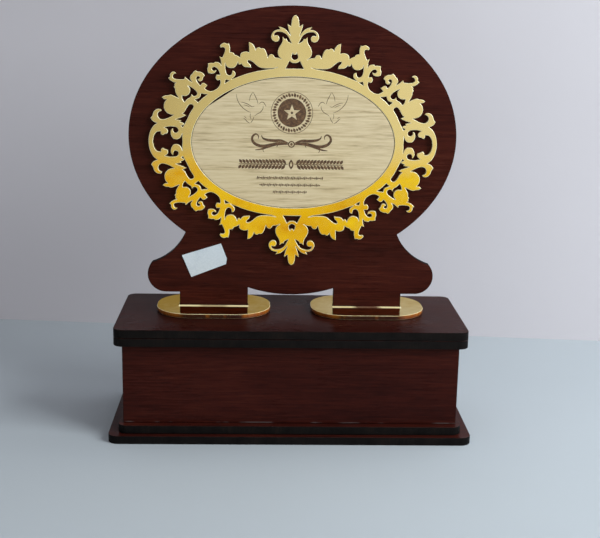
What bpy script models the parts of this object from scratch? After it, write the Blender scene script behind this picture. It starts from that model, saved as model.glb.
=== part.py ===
"""Laser-cut award plaque: an oval back board with a mirror-acrylic filigree ring and an
engraved oval, standing by two tabs in the slotted cap of a hollow box base.

Blender 4.5, metres, +Z up. The front faces -Y. The origin is the bottom centre of the base.
Every plate is flat sheet stock, so every part is a 2D outline extruded to its thickness.
"""
from math import atan2, cos, hypot, pi, radians, sin, sqrt

import bpy

MM = 0.001

# Stock
SHEET = 5.3 * MM            # laminated MDF
ACRYLIC = 2.8 * MM          # mirror acrylic
VENEER = 2.8 * MM           # light laminate of the engraved oval
PAPER = 0.2 * MM
GLUE = 0.3 * MM             # glue line between touching faces
SLOT_PLAY = 0.3 * MM        # clearance round a tab in its slot

# Base, from the bottom up
LOWER_WIDTH, LOWER_DEPTH, LOWER_CORNER = 231.8 * MM, 97.0 * MM, 6.5 * MM
UPPER_WIDTH, UPPER_DEPTH, UPPER_CORNER = 219.6 * MM, 89.2 * MM, 6.0 * MM
BOX_WIDTH, BOX_DEPTH, BOX_HEIGHT = 213.4 * MM, 78.5 * MM, 51.7 * MM
CAP_WIDTH, CAP_DEPTH, CAP_CORNER = 223.9 * MM, 89.0 * MM, 6.0 * MM

# Back board
BOARD_Y = 8.0 * MM          # middle plane of the board, behind the base's own middle
OVAL_X, OVAL_Z = 105.6 * MM, 83.1 * MM
OVAL_CENTRE_Z = 188.9 * MM
WAIST_X = 69.5 * MM         # where the oval meets the sweep of a foot
SWEEP_MID = (79.4 * MM, 112.7 * MM)
FOOT_CENTRE_X, FOOT_CENTRE_Z, FOOT_RADIUS = 82.6 * MM, 97.9 * MM, 12.0 * MM
EAR_ANGLE = radians(42.5)   # the sharp ear, seen from the foot's centre
TAB_X, TAB_WIDTH = 51.0 * MM, 45.0 * MM
BELLY_TOP_Z, BELLY_BOTTOM_Z = 89.4 * MM, 84.8 * MM

# Foot pads
PAD_LENGTH, PAD_DEPTH, PAD_CORNER = 75.0 * MM, 52.0 * MM, 23.0 * MM

# Filigree ring and engraved oval
RING_CENTRE_Z = 185.9 * MM
RING_INNER_X, RING_INNER_Z = 65.3 * MM, 42.2 * MM
ENGRAVED_GAP = 0.6 * MM     # all round, between the ring and the engraved oval

# Label: its corners in millimetres, with the lower right one clipped
LABEL_CORNERS = [(-71.9, 111.0), (-46.3, 119.1), (-42.4, 108.9), (-42.9, 105.3), (-65.8, 96.2)]

# Fineness of the outlines
OVAL_STEPS = 72
ARC_STEP = radians(15)
LEAF_STEP = 1.9             # longest chord on the filigree's curves, in millimetres

# Levels that follow from the stock
UPPER_Z = SHEET + GLUE
BOX_Z = UPPER_Z + SHEET + GLUE
CAP_LOWER_Z = BOX_Z + BOX_HEIGHT + GLUE
CAP_UPPER_Z = CAP_LOWER_Z + SHEET + GLUE
CAP_TOP = CAP_UPPER_Z + SHEET
PAD_Z = CAP_TOP + GLUE
TAB_FOOT_Z = CAP_LOWER_Z + GLUE
BOARD_FRONT = BOARD_Y - SHEET / 2
FACE_Y = BOARD_FRONT - GLUE             # back of what is glued to the board's front


# ---------------------------------------------------------------- outlines

def arc(centre, radius, start, end, step=ARC_STEP):
    """Points along a circular arc, both ends included."""
    count = max(2, round(abs(end - start) / step))
    angles = [start + (end - start) * i / count for i in range(count + 1)]
    return [(centre[0] + radius * cos(a), centre[1] + radius * sin(a)) for a in angles]


def rounded_rectangle(width, depth, corner, centre=(0.0, 0.0)):
    points = []
    for quarter, (sx, sy) in enumerate([(1, 1), (-1, 1), (-1, -1), (1, -1)]):
        turning = (centre[0] + sx * (width / 2 - corner), centre[1] + sy * (depth / 2 - corner))
        points += arc(turning, corner, quarter * pi / 2, (quarter + 1) * pi / 2)
    return points


def rectangle(width, depth, centre=(0.0, 0.0)):
    x, y = width / 2, depth / 2
    return [(centre[0] + sx * x, centre[1] + sy * y) for sx, sy in [(1, 1), (-1, 1), (-1, -1), (1, -1)]]


def ellipse(semi_x, semi_z, centre_z):
    angles = [2 * pi * i / OVAL_STEPS for i in range(OVAL_STEPS)]
    return [(semi_x * cos(a), centre_z + semi_z * sin(a)) for a in angles]


def arc_through(start, middle, end, count=6):
    """A circular arc through three points, without its first point."""
    (ax, ay), (bx, by), (cx, cy) = start, middle, end
    d = 2 * (ax * (by - cy) + bx * (cy - ay) + cx * (ay - by))
    a2, b2, c2 = ax * ax + ay * ay, bx * bx + by * by, cx * cx + cy * cy
    ux = (a2 * (by - cy) + b2 * (cy - ay) + c2 * (ay - by)) / d
    uy = (a2 * (cx - bx) + b2 * (ax - cx) + c2 * (bx - ax)) / d
    first, last = atan2(ay - uy, ax - ux), atan2(cy - uy, cx - ux)
    sweep = (last - first + pi) % (2 * pi) - pi
    radius = hypot(ax - ux, ay - uy)
    angles = [first + sweep * i / count for i in range(1, count + 1)]
    return [(ux + radius * cos(a), uy + radius * sin(a)) for a in angles]


def mirrored_in_x(half):
    """A closed outline from its right half, which runs from the top to the bottom."""
    return half + [(-x, z) for x, z in reversed(half) if abs(x) > 1e-9]


def board_outline():
    """The oval, its two round feet with tabs, and the belly between the tabs."""
    waist_angle = -atan2(sqrt(1 - (WAIST_X / OVAL_X) ** 2), WAIST_X / OVAL_X)
    steps = OVAL_STEPS // 2
    half = []
    for i in range(steps + 1):
        a = pi / 2 + (waist_angle - pi / 2) * i / steps
        half.append((OVAL_X * cos(a), OVAL_CENTRE_Z + OVAL_Z * sin(a)))
    foot = arc((FOOT_CENTRE_X, FOOT_CENTRE_Z), FOOT_RADIUS, EAR_ANGLE, -pi / 2)
    half += arc_through(half[-1], SWEEP_MID, foot[0])[:-1] + foot
    outer, inner = TAB_X + TAB_WIDTH / 2, TAB_X - TAB_WIDTH / 2
    half += [(outer, foot[-1][1]), (outer, TAB_FOOT_Z), (inner, TAB_FOOT_Z), (inner, BELLY_TOP_Z)]
    belly = arc_through((inner, BELLY_TOP_Z), (0.0, BELLY_BOTTOM_Z), (-inner, BELLY_TOP_Z), 12)
    half += belly[:6]
    half[0] = (0.0, half[0][1])
    half[-1] = (0.0, half[-1][1])
    return mirrored_in_x(half)


# The filigree is drawn as one quarter, in millimetres from the ring's centre. Each point is
# (x, z), or (x, z, 1) for a sharp corner; the curve runs smoothly through the others.

CREST = [
    (0, 80.2), (1.6, 79), (2.3, 76.5), (2.6, 73.3, 1), (4.9, 74.8, 1), (4.1, 71.2),
    (2.7, 67.5, 1), (4.5, 69.9), (6.9, 72), (10.5, 73.1, 1), (9.2, 71.3, 1), (11.5, 71.1),
    (13.7, 69.9), (15, 67.3), (14.5, 65.1), (12.7, 63.8), (10.6, 64.2), (9.9, 66),
    (10.8, 67.5), (12.2, 67.7), (13.2, 67.3, 1), (13, 68.9), (11.4, 69.9), (8.9, 69.9),
    (6.4, 69), (4.5, 67.3), (3.1, 64.8), (2.1, 62.9, 1), (4.6, 64.2), (5.4, 65.9, 1),
    (6.2, 65.4, 1), (7.9, 66.9, 1), (7.8, 64.9), (8.4, 62.8), (9.8, 60.6), (10.7, 58.2),
    (10.6, 56), (9.6, 54.2), (7.7, 52.8, 1)]

ACANTHUS = [
    (10, 53.7), (12.6, 54, 1), (13.4, 55.4), (14.8, 56), (16.2, 55.3), (17, 53.7, 1),
    (17.7, 56.4), (18.9, 58.8), (20.3, 59.6), (21.4, 59.4, 1), (22.8, 60.1), (24.2, 59.5),
    (24.7, 58.4, 1), (25.4, 60.5), (26.9, 62.3), (29, 63.2, 1), (28.8, 60), (28.7, 56.8, 1),
    (30, 57.3), (32, 57.2), (33.7, 56.4), (34.4, 55), (34.3, 53.6, 1)]

BUD = [
    (36, 54.6), (37.8, 55.3, 1), (38.8, 56.5), (40.8, 56.9, 1), (40.8, 59.6), (41.5, 62.3, 1),
    (42.6, 62), (44.2, 62.5), (45.8, 62), (47, 60.6), (46.6, 59.6, 1), (45, 59.8),
    (43.9, 59), (44.1, 57), (45.6, 53.4, 1), (47.4, 54, 1), (46.6, 51.9), (46.2, 48.7, 1)]

INNER_SCROLL = [
    (47.3, 50), (48.6, 50.5), (50.2, 50.6, 1), (50.9, 49.9, 1), (52.6, 50), (54.6, 49.6, 1),
    (54.5, 47.9), (55, 46.1), (54.6, 43.8, 1), (53.2, 43.4), (51.3, 43.5), (49.9, 44.3),
    (49.3, 45.7, 1), (51, 45.1), (52.1, 46), (51.9, 47.1), (50.6, 47.6), (49, 46.8),
    (47.7, 45), (46.9, 42.6, 1), (49.2, 42.7, 1), (49.7, 41), (48.8, 39.3), (47, 39.7, 1),
    (46.7, 37.6), (48, 34.9), (50.3, 33.1), (52.8, 32.3), (55, 32.8), (56.7, 34, 1),
    (55.1, 35.9, 1), (56.3, 36.9), (57.9, 37.4), (59.5, 35.8, 1)]

OUTER_SCROLL = [
    (61.1, 37.7), (61.9, 39.5), (61.9, 40.9), (61, 41.6), (60, 41.3), (59.8, 40.4),
    (61.1, 39.7, 1), (60.5, 38.7), (59.2, 38.5), (58.1, 39.3), (57.6, 40.9), (56.6, 41.9, 1),
    (57.6, 43.4), (59.5, 44.3), (61.5, 44.5), (62.3, 45.2, 1), (63.5, 44.4), (64.5, 43, 1),
    (65.5, 42), (65.9, 40), (64.6, 37.9, 1)]

TULIPS = [
    (66.4, 38.8), (67.8, 39.9), (69.2, 41.1, 1), (69.5, 39.6, 1), (73, 39.4), (76, 39.9),
    (76.8, 41.2), (76.1, 42.7), (74.5, 43.2, 1), (75.9, 44.1), (77.5, 43.8), (78.5, 42.4),
    (78.5, 40.9, 1), (79.6, 40.2, 1), (78.3, 38.8), (76.4, 37.7), (74.7, 37.3, 1),
    (75.8, 36.5), (75.5, 35.6, 1), (76.1, 34.6), (75.3, 33.5, 1), (75.3, 31.9), (74.6, 30.1),
    (73.1, 27.6, 1), (75.8, 28.9), (78.2, 29.7), (80, 29.3, 1), (82, 29.1), (83.8, 28.1, 1),
    (82.4, 27), (80.6, 26.8, 1), (82, 25.1), (82.6, 22.6), (82.1, 20.3), (80.5, 18.3),
    (78.6, 17.4), (76.3, 17, 1)]

SIDE_HOOK = [
    (79, 15.5), (81.5, 14.5), (84, 14.1), (85.8, 15), (86.5, 16.7), (86.2, 18.2), (85.3, 19.1),
    (84, 19.6, 1), (84.8, 20.5), (86.4, 20.7), (88, 20), (89.2, 18.6, 1), (89.9, 16.4, 1),
    (91, 14.9, 1), (90.1, 13.4), (88.6, 12.3), (86.9, 11.8, 1), (89.4, 9.8), (91.2, 6.8),
    (92.2, 3.5), (92.5, 0)]

# Openings that cross the upright axis run from top to bottom; the one that crosses the level
# axis starts and ends on it. Both are completed by their mirror images.
CREST_EYE = [
    (0, 56), (0.9, 56.1, 1), (1.2, 57.2, 1), (1.7, 56, 1), (2.1, 54.6), (1.6, 53.4), (0, 52.7)]

CREST_GAP = [
    (0, 50.8), (1.7, 51), (3.3, 52.1, 1), (4.4, 49.9), (5.8, 47.2, 1), (0, 47.3, 1)]

SIDE_OPENING = [
    (70.9, 0, 1), (71.1, 2.5), (70.9, 5.5, 1), (71.9, 3.3), (73.2, 2), (74.9, 1.6),
    (76.7, 1.9, 1), (77.9, 3.6), (78.4, 5.8), (78, 7.6), (76.9, 8.6, 1), (76.8, 6.9),
    (75.9, 5.8), (74.6, 5.8), (73.6, 6.7), (73.6, 8), (74.6, 9.2), (76.6, 9.7),
    (79.5, 9.7), (82.4, 9.1, 1), (80.9, 8.2), (80.1, 6.8), (80.5, 5.3, 1), (82.1, 4.9),
    (83.5, 4.1, 1), (84.6, 4.9), (84.7, 6.5, 1), (87.2, 6.1), (89, 3.8), (89.8, 0, 1)]

UNDER_ACANTHUS = [
    (10.4, 48.1, 1), (13, 47.5), (16.5, 47.2), (20, 47.3), (22.6, 48), (24.4, 49.3),
    (26.4, 51), (28.3, 52), (29.6, 51.8), (29.3, 50.6), (27.9, 49.2), (27.4, 47.5, 1),
    (29.2, 47.7), (31.3, 47.9), (32.7, 48.7), (33.6, 49.9, 1), (34.4, 49.3), (35.3, 49.5),
    (35.8, 51, 1), (36.5, 49.1), (37.9, 47.5), (39.9, 47), (41.9, 47.4), (43.3, 48.6),
    (43.7, 50.2, 1), (43.7, 47.2), (43.3, 44.6), (42.5, 43), (41.2, 42.4), (39.9, 42.9),
    (39.4, 44), (39.2, 45.4, 1), (38, 45), (37.3, 43.6), (37.8, 41.9), (39.9, 40, 1),
    (36.6, 41.2), (31, 43.3), (25, 45), (19, 46.2), (13.5, 47, 1)]

STEM_EYE = [(40.9, 39.2, 1), (43.5, 39.8, 1), (44, 37.4, 1)]

FORK_EYE = [
    (54.9, 30.3, 1), (59, 30.8, 1), (59.3, 29.3), (60.1, 28, 1), (63.1, 26.9, 1),
    (61.8, 26), (60.9, 25.1, 1), (58, 27.9)]

UNDER_TULIP = [
    (67.2, 35.6, 1), (65.3, 34.7), (63.2, 33.3), (61.7, 31.7), (61.5, 30.3), (62.4, 29.3),
    (63.8, 29.1), (65.1, 30.2, 1), (65.6, 28.6), (67.7, 27.2), (69.5, 25.3, 1), (70.7, 27.2),
    (71, 29.3, 1), (68.6, 29.2), (66.8, 30.2), (65.9, 31.9), (66, 33.8)]

SIDE_SLOT = [
    (65.6, 24), (66.9, 23.3), (68.2, 21.4), (69.4, 19.2), (70.9, 17.9, 1), (68.5, 16.9, 1),
    (71, 15.7), (75.3, 14.2, 1), (71.6, 13.5, 1), (72.4, 12.6, 1), (70.4, 12), (69.8, 11.1, 1),
    (71.8, 10.2, 1), (70.7, 9.2, 1), (68.1, 14.1), (65.8, 18.8), (63.8, 22), (64.2, 23.5)]

QUARTER_EDGE = CREST + ACANTHUS + BUD + INNER_SCROLL + OUTER_SCROLL + TULIPS + SIDE_HOOK
QUARTER_OPENINGS = [UNDER_ACANTHUS, STEM_EYE, FORK_EYE, UNDER_TULIP, SIDE_SLOT]


def flipped(points, sx, sz):
    return [(sx * p[0], sz * p[1]) + tuple(p[2:]) for p in points]


def joined(first, second):
    """Two runs end to end, without doubling a shared end point."""
    if first[-1][:2] == second[0][:2]:
        return first + second[1:]
    return first + second


def closed(points):
    return points[:-1] if points[0][:2] == points[-1][:2] else points


def four_quarters(quarter):
    right = joined(quarter, flipped(quarter[::-1], 1, -1))
    return closed(joined(right, flipped(right[::-1], -1, 1)))


def smooth_outline(points, step=LEAF_STEP):
    """A closed Catmull-Rom curve through the points, straight-ended at the sharp ones."""
    count = len(points)
    outline = []
    for i in range(count):
        p0, p1, p2, p3 = (points[(i + k) % count] for k in (-1, 0, 1, 2))
        before = p1 if len(p1) > 2 else p0
        after = p2 if len(p2) > 2 else p3
        pieces = max(1, round(hypot(p2[0] - p1[0], p2[1] - p1[1]) / step))
        for j in range(pieces):
            t = j / pieces
            weights = ((-t + 2 * t * t - t ** 3) / 2, (2 - 5 * t * t + 3 * t ** 3) / 2,
                       (t + 4 * t * t - 3 * t ** 3) / 2, (t ** 3 - t * t) / 2)
            run = (before, p1, p2, after)
            outline.append(tuple(sum(w * p[axis] for w, p in zip(weights, run)) for axis in (0, 1)))
    return outline


def filigree_outlines():
    """The ring's inner edge, the filigree's outer edge and every opening in between."""
    shapes = [four_quarters(QUARTER_EDGE)]
    for half in (CREST_EYE, CREST_GAP):
        whole = closed(joined(half, flipped(half[::-1], -1, 1)))
        whole = whole[1:] + whole[:1]       # starts off the mirror axis
        shapes += [whole, flipped(whole, 1, -1)]
    side = closed(joined(SIDE_OPENING, flipped(SIDE_OPENING[::-1], 1, -1)))
    shapes += [side, flipped(side, -1, 1)]
    for opening in QUARTER_OPENINGS:
        shapes += [flipped(opening, sx, sz) for sx in (1, -1) for sz in (1, -1)]
    outlines = [[(x * MM, z * MM + RING_CENTRE_Z) for x, z in smooth_outline(s)] for s in shapes]
    return outlines + [ellipse(RING_INNER_X, RING_INNER_Z, RING_CENTRE_Z)]


# ---------------------------------------------------------------- materials and objects

def principled(name, colour, roughness, metallic=0.0):
    material = bpy.data.materials.new(name)
    material.use_nodes = True
    shader = material.node_tree.nodes["Principled BSDF"]
    shader.inputs["Base Color"].default_value = (*colour, 1.0)
    shader.inputs["Roughness"].default_value = roughness
    shader.inputs["Metallic"].default_value = metallic
    material.diffuse_color = (*colour, 1.0)
    return material


def walnut(name):
    return principled(name + "_walnut", (0.045, 0.016, 0.013), 0.38)


def oak(name):
    return principled(name + "_oak", (0.60, 0.50, 0.30), 0.5)


def gold_mirror(name):
    return principled(name + "_gold", (0.75, 0.60, 0.22), 0.12, 1.0)


def white_paper(name):
    return principled(name + "_paper", (0.85, 0.86, 0.88), 0.7)


def plate(name, outlines, thickness, location, finish, upright=False):
    """One closed plate from its outlines, centred on its location through the thickness."""
    curve = bpy.data.curves.new(name, "CURVE")
    curve.dimensions = "2D"
    curve.fill_mode = "BOTH"
    curve.extrude = thickness / 2
    for points in outlines:
        spline = curve.splines.new("POLY")
        spline.points.add(len(points) - 1)
        for target, (x, y) in zip(spline.points, points):
            target.co = (x, y, 0.0, 1.0)
        spline.use_cyclic_u = True
    obj = bpy.data.objects.new(name, curve)
    obj.location = location
    obj.rotation_euler = (pi / 2 if upright else 0.0, 0.0, 0.0)
    obj.data.materials.append(finish(name))
    PARTS.objects.link(obj)
    return obj


def level_plate(name, outlines, thickness, bottom, finish=walnut):
    return plate(name, outlines, thickness, (0.0, 0.0, bottom + thickness / 2), finish)


def upright_plate(name, outlines, thickness, front, finish=walnut):
    return plate(name, outlines, thickness, (0.0, front + thickness / 2, 0.0), finish, upright=True)


def tab_slot(side):
    """The slot that lets a tab of the back board through a level plate."""
    width, depth = TAB_WIDTH + 2 * SLOT_PLAY, SHEET + 2 * SLOT_PLAY
    return rectangle(width, depth, (side * TAB_X, BOARD_Y))


# ---------------------------------------------------------------- the pieces

def plinth():
    lower = rounded_rectangle(LOWER_WIDTH, LOWER_DEPTH, LOWER_CORNER)
    upper = rounded_rectangle(UPPER_WIDTH, UPPER_DEPTH, UPPER_CORNER)
    level_plate("plinth_lower_plate", [lower], SHEET, 0.0)
    level_plate("plinth_upper_plate", [upper], SHEET, UPPER_Z)


def box_walls():
    """Front and back run the whole width; the side walls stand between them."""
    wall = rectangle(BOX_WIDTH, BOX_HEIGHT, (0.0, BOX_Z + BOX_HEIGHT / 2))
    upright_plate("front_panel", [wall], SHEET, -BOX_DEPTH / 2)
    upright_plate("back_panel", [wall], SHEET, BOX_DEPTH / 2 - SHEET)
    side_depth = BOX_DEPTH - 2 * (SHEET + GLUE)
    for name, side in (("left_side_panel", -1), ("right_side_panel", 1)):
        centre = (side * (BOX_WIDTH - SHEET) / 2, 0.0)
        level_plate(name, [rectangle(SHEET, side_depth, centre)], BOX_HEIGHT, BOX_Z)


def cap():
    outline = rounded_rectangle(CAP_WIDTH, CAP_DEPTH, CAP_CORNER)
    for name, bottom in (("cap_lower_plate", CAP_LOWER_Z), ("cap_upper_plate", CAP_UPPER_Z)):
        level_plate(name, [outline, tab_slot(-1), tab_slot(1)], SHEET, bottom)


def foot_pads():
    for name, side in (("left_foot_pad", -1), ("right_foot_pad", 1)):
        outline = rounded_rectangle(PAD_LENGTH, PAD_DEPTH, PAD_CORNER, (side * TAB_X, BOARD_Y))
        level_plate(name, [outline, tab_slot(side)], ACRYLIC, PAD_Z, gold_mirror)


def board_and_face():
    upright_plate("backboard", [board_outline()], SHEET, BOARD_FRONT)
    upright_plate("gold_frame", filigree_outlines(), ACRYLIC, FACE_Y - ACRYLIC, gold_mirror)
    oval = ellipse(RING_INNER_X - ENGRAVED_GAP, RING_INNER_Z - ENGRAVED_GAP, RING_CENTRE_Z)
    upright_plate("engraved_panel", [oval], VENEER, FACE_Y - VENEER, oak)


def label():
    placed = [(x * MM, z * MM) for x, z in LABEL_CORNERS]
    upright_plate("paper_label", [placed], PAPER, FACE_Y - PAPER, white_paper)


for old in list(bpy.data.objects):
    bpy.data.objects.remove(old, do_unlink=True)
PARTS = bpy.data.collections.new("wooden_plaque")
bpy.context.scene.collection.children.link(PARTS)

plinth()
box_walls()
cap()
foot_pads()
board_and_face()
label()
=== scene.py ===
"""Looks of the award plaque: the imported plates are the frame, and every plate is cut again here from the
same outlines, with fine curves, broken edges, laser-charred sides, engraving and procedural finishes."""

from math import atan2, cos, hypot, pi, radians, sin, sqrt

import bmesh
import bpy
import numpy as np
from mathutils import Matrix, Vector
from mathutils.geometry import delaunay_2d_cdt


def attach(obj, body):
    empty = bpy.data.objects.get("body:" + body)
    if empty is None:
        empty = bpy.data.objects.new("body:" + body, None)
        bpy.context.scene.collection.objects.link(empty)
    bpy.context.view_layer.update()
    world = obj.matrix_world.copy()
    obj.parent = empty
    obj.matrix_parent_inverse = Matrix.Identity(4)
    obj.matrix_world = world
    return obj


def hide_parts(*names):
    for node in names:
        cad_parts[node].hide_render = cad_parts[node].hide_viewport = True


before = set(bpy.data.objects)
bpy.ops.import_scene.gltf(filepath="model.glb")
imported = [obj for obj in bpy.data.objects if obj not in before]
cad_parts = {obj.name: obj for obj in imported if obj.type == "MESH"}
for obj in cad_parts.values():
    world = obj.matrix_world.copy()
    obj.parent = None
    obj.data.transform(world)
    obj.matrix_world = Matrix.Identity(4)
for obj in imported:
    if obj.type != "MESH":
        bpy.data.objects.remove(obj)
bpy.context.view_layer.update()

MM = 0.001

# ---------------------------------------------------------------- sizes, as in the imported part

SHEET = 5.3 * MM
ACRYLIC = 2.8 * MM
VENEER = 2.8 * MM
PAPER = 0.2 * MM
GLUE = 0.3 * MM
SLOT_PLAY = 0.3 * MM

LOWER_WIDTH, LOWER_DEPTH, LOWER_CORNER = 231.8 * MM, 97.0 * MM, 6.5 * MM
UPPER_WIDTH, UPPER_DEPTH, UPPER_CORNER = 219.6 * MM, 89.2 * MM, 6.0 * MM
BOX_WIDTH, BOX_DEPTH, BOX_HEIGHT = 213.4 * MM, 78.5 * MM, 51.7 * MM
CAP_WIDTH, CAP_DEPTH, CAP_CORNER = 223.9 * MM, 89.0 * MM, 6.0 * MM

BOARD_Y = 8.0 * MM
OVAL_X, OVAL_Z = 105.6 * MM, 83.1 * MM
OVAL_CENTRE_Z = 188.9 * MM
WAIST_X = 69.5 * MM
SWEEP_MID = (79.4 * MM, 112.7 * MM)
FOOT_CENTRE_X, FOOT_CENTRE_Z, FOOT_RADIUS = 82.6 * MM, 97.9 * MM, 12.0 * MM
EAR_ANGLE = radians(42.5)
TAB_X, TAB_WIDTH = 51.0 * MM, 45.0 * MM
BELLY_TOP_Z, BELLY_BOTTOM_Z = 89.4 * MM, 84.8 * MM
PAD_LENGTH, PAD_DEPTH, PAD_CORNER = 75.0 * MM, 52.0 * MM, 23.0 * MM

RING_CENTRE_Z = 185.9 * MM
RING_INNER_X, RING_INNER_Z = 65.3 * MM, 42.2 * MM
ENGRAVED_GAP = 0.25 * MM    # round the engraved oval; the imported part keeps 0.6 mm there
FLAT_SPOT = (radians(125), radians(146))    # where the oval is cut straight

LABEL_CORNERS = [(-71.9, 111.0), (-46.3, 119.1), (-42.4, 108.9), (-42.9, 105.3), (-65.8, 96.2)]

UPPER_Z = SHEET + GLUE
BOX_Z = UPPER_Z + SHEET + GLUE
CAP_LOWER_Z = BOX_Z + BOX_HEIGHT + GLUE
CAP_UPPER_Z = CAP_LOWER_Z + SHEET + GLUE
CAP_TOP = CAP_UPPER_Z + SHEET
PAD_Z = CAP_TOP + GLUE
TAB_FOOT_Z = CAP_LOWER_Z + GLUE
BOARD_FRONT = BOARD_Y - SHEET / 2
FACE_Y = BOARD_FRONT - GLUE

# ---------------------------------------------------------------- fineness of the visible model

OVAL_STEPS = 360
ARC_STEP = radians(5)
LEAF_STEP = 0.4             # longest chord on the filigree's curves, in millimetres
EDGE_BREAK = 0.22 * MM      # broken edge of a laminated sheet
RIM = 0.30 * MM             # melted rim round the mirror acrylic
RIM_DEPTH = 0.16 * MM       # how deep that rim runs
ENGRAVING_DEPTH = 0.2 * MM
OVAL_BREAK = 0.12 * MM
PAD_BREAK = 0.2 * MM
PAINTED_STRIP_DEPTH = 4.2 * MM       # painted light strip in front of each tab


# The filigree is drawn as one quarter, in millimetres from the ring's centre. Each point is
# (x, z), or (x, z, 1) for a sharp corner; the curve runs smoothly through the others.

CREST = [
    (0, 80.2), (1.6, 79), (2.3, 76.5), (2.6, 73.3, 1), (4.9, 74.8, 1), (4.1, 71.2),
    (2.7, 67.5, 1), (4.5, 69.9), (6.9, 72), (10.5, 73.1, 1), (9.2, 71.3, 1), (11.5, 71.1),
    (13.7, 69.9), (15, 67.3), (14.5, 65.1), (12.7, 63.8), (10.6, 64.2), (9.9, 66),
    (10.8, 67.5), (12.2, 67.7), (13.2, 67.3, 1), (13, 68.9), (11.4, 69.9), (8.9, 69.9),
    (6.4, 69), (4.5, 67.3), (3.1, 64.8), (2.1, 62.9, 1), (4.6, 64.2), (5.4, 65.9, 1),
    (6.2, 65.4, 1), (7.9, 66.9, 1), (7.8, 64.9), (8.4, 62.8), (9.8, 60.6), (10.7, 58.2),
    (10.6, 56), (9.6, 54.2), (7.7, 52.8, 1)]

ACANTHUS = [
    (10, 53.7), (12.6, 54, 1), (13.4, 55.4), (14.8, 56), (16.2, 55.3), (17, 53.7, 1),
    (17.7, 56.4), (18.9, 58.8), (20.3, 59.6), (21.4, 59.4, 1), (22.8, 60.1), (24.2, 59.5),
    (24.7, 58.4, 1), (25.4, 60.5), (26.9, 62.3), (29, 63.2, 1), (28.8, 60), (28.7, 56.8, 1),
    (30, 57.3), (32, 57.2), (33.7, 56.4), (34.4, 55), (34.3, 53.6, 1)]

BUD = [
    (36, 54.6), (37.8, 55.3, 1), (38.8, 56.5), (40.8, 56.9, 1), (40.8, 59.6), (41.5, 62.3, 1),
    (42.6, 62), (44.2, 62.5), (45.8, 62), (47, 60.6), (46.6, 59.6, 1), (45, 59.8),
    (43.9, 59), (44.1, 57), (45.6, 53.4, 1), (47.4, 54, 1), (46.6, 51.9), (46.2, 48.7, 1)]

INNER_SCROLL = [
    (47.3, 50), (48.6, 50.5), (50.2, 50.6, 1), (50.9, 49.9, 1), (52.6, 50), (54.6, 49.6, 1),
    (54.5, 47.9), (55, 46.1), (54.6, 43.8, 1), (53.2, 43.4), (51.3, 43.5), (49.9, 44.3),
    (49.3, 45.7, 1), (51, 45.1), (52.1, 46), (51.9, 47.1), (50.6, 47.6), (49, 46.8),
    (47.7, 45), (46.9, 42.6, 1), (49.2, 42.7, 1), (49.7, 41), (48.8, 39.3), (47, 39.7, 1),
    (46.7, 37.6), (48, 34.9), (50.3, 33.1), (52.8, 32.3), (55, 32.8), (56.7, 34, 1),
    (55.1, 35.9, 1), (56.3, 36.9), (57.9, 37.4), (59.5, 35.8, 1)]

OUTER_SCROLL = [
    (61.1, 37.7), (61.9, 39.5), (61.9, 40.9), (61, 41.6), (60, 41.3), (59.8, 40.4),
    (61.1, 39.7, 1), (60.5, 38.7), (59.2, 38.5), (58.1, 39.3), (57.6, 40.9), (56.6, 41.9, 1),
    (57.6, 43.4), (59.5, 44.3), (61.5, 44.5), (62.3, 45.2, 1), (63.5, 44.4), (64.5, 43, 1),
    (65.5, 42), (65.9, 40), (64.6, 37.9, 1)]

TULIPS = [
    (66.4, 38.8), (67.8, 39.9), (69.2, 41.1, 1), (69.5, 39.6, 1), (73, 39.4), (76, 39.9),
    (76.8, 41.2), (76.1, 42.7), (74.5, 43.2, 1), (75.9, 44.1), (77.5, 43.8), (78.5, 42.4),
    (78.5, 40.9, 1), (79.6, 40.2, 1), (78.3, 38.8), (76.4, 37.7), (74.7, 37.3, 1),
    (75.8, 36.5), (75.5, 35.6, 1), (76.1, 34.6), (75.3, 33.5, 1), (75.3, 31.9), (74.6, 30.1),
    (73.1, 27.6, 1), (75.8, 28.9), (78.2, 29.7), (80, 29.3, 1), (82, 29.1), (83.8, 28.1, 1),
    (82.4, 27), (80.6, 26.8, 1), (82, 25.1), (82.6, 22.6), (82.1, 20.3), (80.5, 18.3),
    (78.6, 17.4), (76.3, 17, 1)]

SIDE_HOOK = [
    (79, 15.5), (81.5, 14.5), (84, 14.1), (85.8, 15), (86.5, 16.7), (86.2, 18.2), (85.3, 19.1),
    (84, 19.6, 1), (84.8, 20.5), (86.4, 20.7), (88, 20), (89.2, 18.6, 1), (89.9, 16.4, 1),
    (91, 14.9, 1), (90.1, 13.4), (88.6, 12.3), (86.9, 11.8, 1), (89.4, 9.8), (91.2, 6.8),
    (92.2, 3.5), (92.5, 0)]

# Openings that cross the upright axis run from top to bottom; the one that crosses the level
# axis starts and ends on it. Both are completed by their mirror images.
CREST_EYE = [
    (0, 56), (0.9, 56.1, 1), (1.2, 57.2, 1), (1.7, 56, 1), (2.1, 54.6), (1.6, 53.4), (0, 52.7)]

CREST_GAP = [
    (0, 50.8), (1.7, 51), (3.3, 52.1, 1), (4.4, 49.9), (5.8, 47.2, 1), (0, 47.3, 1)]

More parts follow.
